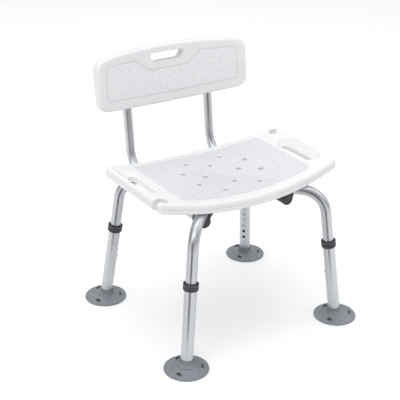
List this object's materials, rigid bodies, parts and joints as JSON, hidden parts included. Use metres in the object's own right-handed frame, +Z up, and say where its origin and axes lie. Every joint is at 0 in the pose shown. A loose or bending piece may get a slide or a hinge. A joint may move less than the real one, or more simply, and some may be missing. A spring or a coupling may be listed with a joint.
{
  "type": "shower chair",
  "caption": "Bath and shower chair with a dished plastic seat, a curved backrest that slides off, and telescoping aluminium legs on suction feet.",
  "frame": {"origin": "on the floor, under the middle of the whole chair", "axes": "+Z up, -Y towards the front of the seat, +X to the right seen from the front"},
  "size_m": [0.541, 0.5202, 0.6145],
  "materials": {
    "seat_plastic": "pebbled and satin",
    "bracket_plastic": "satin",
    "steel": "satin",
    "tube": "satin anodised",
    "black_plastic": "satin",
    "foot_rubber": "matt"
  },
  "bodies": {
    "frame": {"seat_shell": "seat_plastic", "cross_bracket": "bracket_plastic", "frame_bolts": "steel", "frame_nuts": "steel", "seat_screws": "steel", "front_right_leg_tube": "tube", "front_right_button_spring": "steel", "back_right_leg_tube": "tube", "back_right_button_spring": "steel", "back_left_leg_tube": "tube", "back_left_button_spring": "steel", "front_left_leg_tube": "tube", "front_left_button_spring": "steel"},
    "front_right_leg": {"front_right_extension_tube": "tube", "front_right_collar": "black_plastic", "front_right_foot": "foot_rubber", "front_right_foot_washer": "steel"},
    "front_right_button": {"front_right_leg_button": "steel"},
    "back_right_leg": {"back_right_extension_tube": "tube", "back_right_collar": "black_plastic", "back_right_foot": "foot_rubber", "back_right_foot_washer": "steel"},
    "back_right_button": {"back_right_leg_button": "steel"},
    "back_left_leg": {"back_left_extension_tube": "tube", "back_left_collar": "black_plastic", "back_left_foot": "foot_rubber", "back_left_foot_washer": "steel"},
    "back_left_button": {"back_left_leg_button": "steel"},
    "front_left_leg": {"front_left_extension_tube": "tube", "front_left_collar": "black_plastic", "front_left_foot": "foot_rubber", "front_left_foot_washer": "steel"},
    "front_left_button": {"front_left_leg_button": "steel"},
    "backrest": {"backrest_panel": "seat_plastic", "backrest_screws": "steel", "left_back_tube": "tube", "left_back_tube_tip": "black_plastic", "left_back_button_spring": "steel", "right_back_tube": "tube", "right_back_tube_tip": "black_plastic", "right_back_button_spring": "steel"},
    "left_back_button": {"left_back_button": "steel"},
    "right_back_button": {"right_back_button": "steel"}
  },
  "joints": [
    {"name": "front_right_leg_slide", "type": "slide", "parent": "frame", "child": "front_right_leg", "axis": [0.1063, -0.0925, -0.99], "range_m": [-0.057, 0.057]},
    {"name": "front_right_button_press", "type": "slide", "parent": "frame", "child": "front_right_button", "axis": [0.747, -0.6497, 0.1409], "range_m": [0, 0.0038], "stiffness_N_per_m": 2000, "springref_m": -0.001, "deforming": ["front_right_button_spring"]},
    {"name": "back_right_leg_slide", "type": "slide", "parent": "frame", "child": "back_right_leg", "axis": [0.1063, 0.0925, -0.99], "range_m": [-0.057, 0.057]},
    {"name": "back_right_button_press", "type": "slide", "parent": "frame", "child": "back_right_button", "axis": [0.747, 0.6497, 0.1409], "range_m": [0, 0.0038], "stiffness_N_per_m": 2000, "springref_m": -0.001, "deforming": ["back_right_button_spring"]},
    {"name": "back_left_leg_slide", "type": "slide", "parent": "frame", "child": "back_left_leg", "axis": [-0.1063, 0.0925, -0.99], "range_m": [-0.057, 0.057]},
    {"name": "back_left_button_press", "type": "slide", "parent": "frame", "child": "back_left_button", "axis": [-0.747, 0.6497, 0.1409], "range_m": [0, 0.0038], "stiffness_N_per_m": 2000, "springref_m": -0.001, "deforming": ["back_left_button_spring"]},
    {"name": "front_left_leg_slide", "type": "slide", "parent": "frame", "child": "front_left_leg", "axis": [-0.1063, -0.0925, -0.99], "range_m": [-0.057, 0.057]},
    {"name": "front_left_button_press", "type": "slide", "parent": "frame", "child": "front_left_button", "axis": [-0.747, -0.6497, 0.1409], "range_m": [0, 0.0038], "stiffness_N_per_m": 2000, "springref_m": -0.001, "deforming": ["front_left_button_spring"]},
    {"name": "backrest_slide", "type": "slide", "parent": "frame", "child": "backrest", "axis": [0, 1, 0], "range_m": [0, 0.235]},
    {"name": "left_back_button_press", "type": "slide", "parent": "backrest", "child": "left_back_button", "axis": [0, 0, 1], "range_m": [0, 0.005], "stiffness_N_per_m": 2000, "springref_m": -0.001, "deforming": ["left_back_button_spring"]},
    {"name": "right_back_button_press", "type": "slide", "parent": "backrest", "child": "right_back_button", "axis": [0, 0, 1], "range_m": [0, 0.005], "stiffness_N_per_m": 2000, "springref_m": -0.001, "deforming": ["right_back_button_spring"]}
  ]
}
